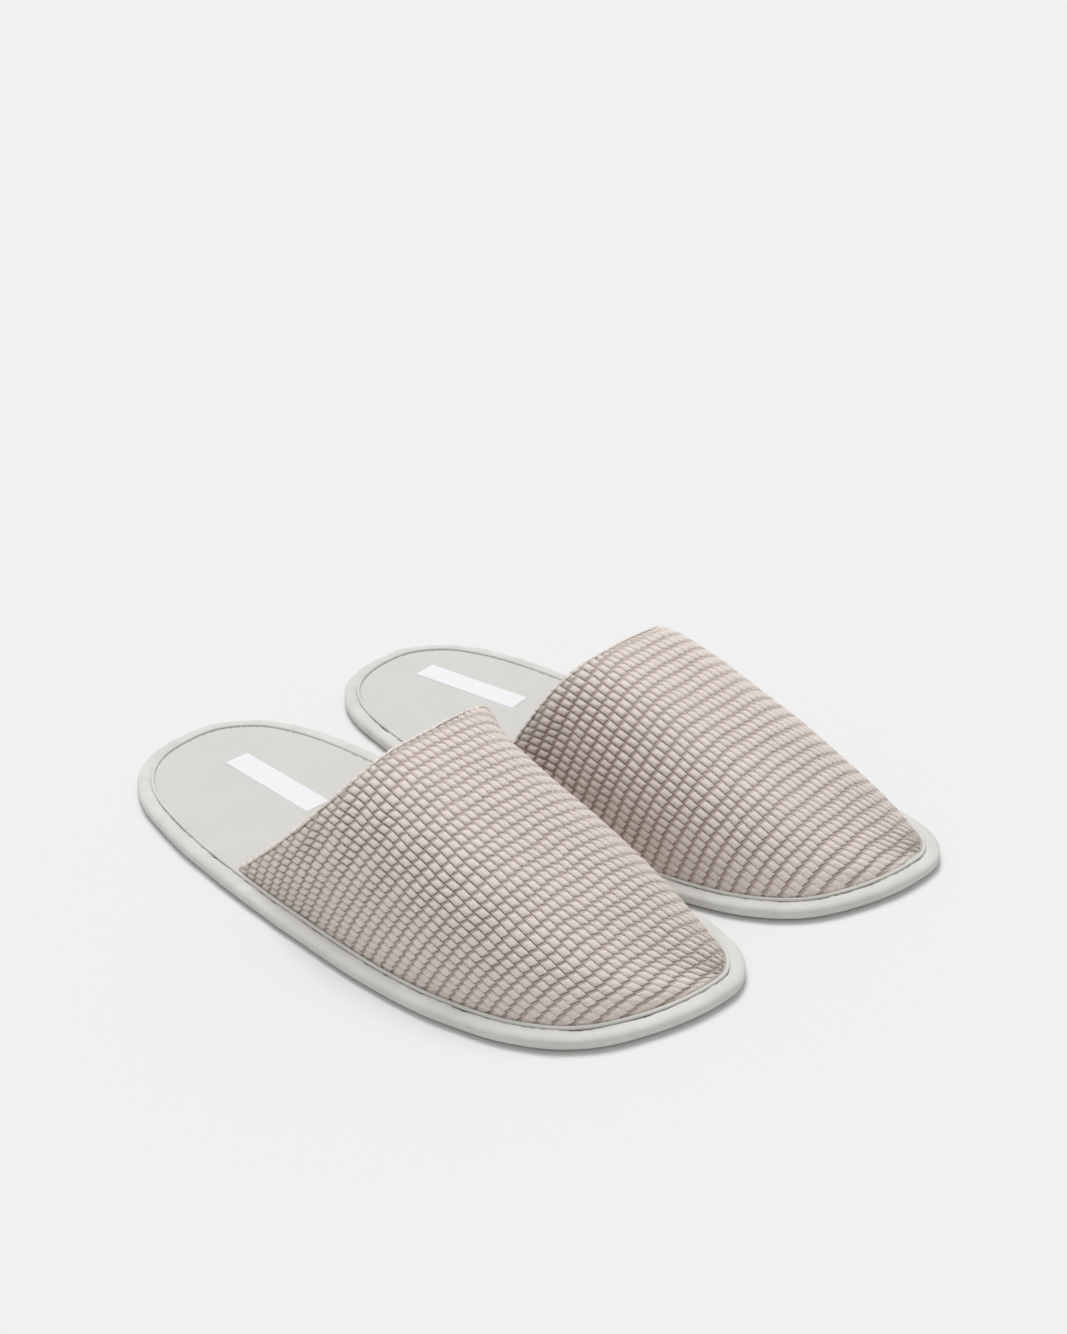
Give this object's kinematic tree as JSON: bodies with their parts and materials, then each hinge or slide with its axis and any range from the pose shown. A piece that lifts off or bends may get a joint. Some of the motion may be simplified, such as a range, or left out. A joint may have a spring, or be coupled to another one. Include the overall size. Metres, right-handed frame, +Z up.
{
  "type": "spa slippers",
  "caption": "Pair of open-back, closed-toe house slippers: waffle-knit uppers over thin cotton-covered foam soles with a soft rolled edge and a narrow piping.",
  "frame": {"origin": "bottom centre of the pair, on the floor between the two slippers", "axes": "+Z up, toes towards -Y, heels towards +Y, the wearer's right slipper on the -X side"},
  "size_m": [0.221, 0.2896, 0.0726],
  "materials": {
    "waffle_knit": "matt raised waffle knit, pinkish taupe",
    "cover_cotton": "matt fine cotton canvas, light warm grey",
    "sock_cotton": "matt fine cotton, light warm grey",
    "lining_cotton": "matt thin lining cloth",
    "soft_foam": "open soft foam, hidden",
    "eva_foam": "closed-cell foam, hidden",
    "sole_rubber": "matt thin foamed outsole",
    "woven_label": "smooth white woven tape"
  },
  "bodies": {
    "right_front": {"right_outsole_front": "sole_rubber", "right_midsole_front": "eva_foam", "right_insole_front": "soft_foam", "right_sock_front": "sock_cotton", "right_rand_front": "cover_cotton", "right_piping_front": "cover_cotton", "right_upper_knit": "waffle_knit", "right_upper_wadding": "soft_foam", "right_upper_lining": "lining_cotton", "right_hem": "waffle_knit"},
    "right_heel": {"right_outsole_heel": "sole_rubber", "right_midsole_heel": "eva_foam", "right_insole_heel": "soft_foam", "right_sock_heel": "sock_cotton", "right_rand_heel": "cover_cotton", "right_piping_heel": "cover_cotton", "right_label": "woven_label"},
    "left_front": {"left_outsole_front": "sole_rubber", "left_midsole_front": "eva_foam", "left_insole_front": "soft_foam", "left_sock_front": "sock_cotton", "left_rand_front": "cover_cotton", "left_piping_front": "cover_cotton", "left_upper_knit": "waffle_knit", "left_upper_wadding": "soft_foam", "left_upper_lining": "lining_cotton", "left_hem": "waffle_knit"},
    "left_heel": {"left_outsole_heel": "sole_rubber", "left_midsole_heel": "eva_foam", "left_insole_heel": "soft_foam", "left_sock_heel": "sock_cotton", "left_rand_heel": "cover_cotton", "left_piping_heel": "cover_cotton", "left_label": "woven_label"}
  },
  "joints": [
    {"name": "right_heel_flex", "type": "hinge", "parent": "right_front", "child": "right_heel", "pos_m": [-0.05617, 0.05499, 0.0066], "axis": [1, 0, 0], "range_deg": [0, 40], "stiffness_Nm_per_rad": 0.06},
    {"name": "left_slipper_lift", "type": "slide", "parent": "right_front", "child": "left_front", "axis": [0, 0, 1], "range_m": [0, 0.12]},
    {"name": "left_heel_flex", "type": "hinge", "parent": "left_front", "child": "left_heel", "pos_m": [0.05036, 0.04397, 0.0066], "axis": [0.9996, 0.0293, 0], "range_deg": [0, 40], "stiffness_Nm_per_rad": 0.06}
  ]
}
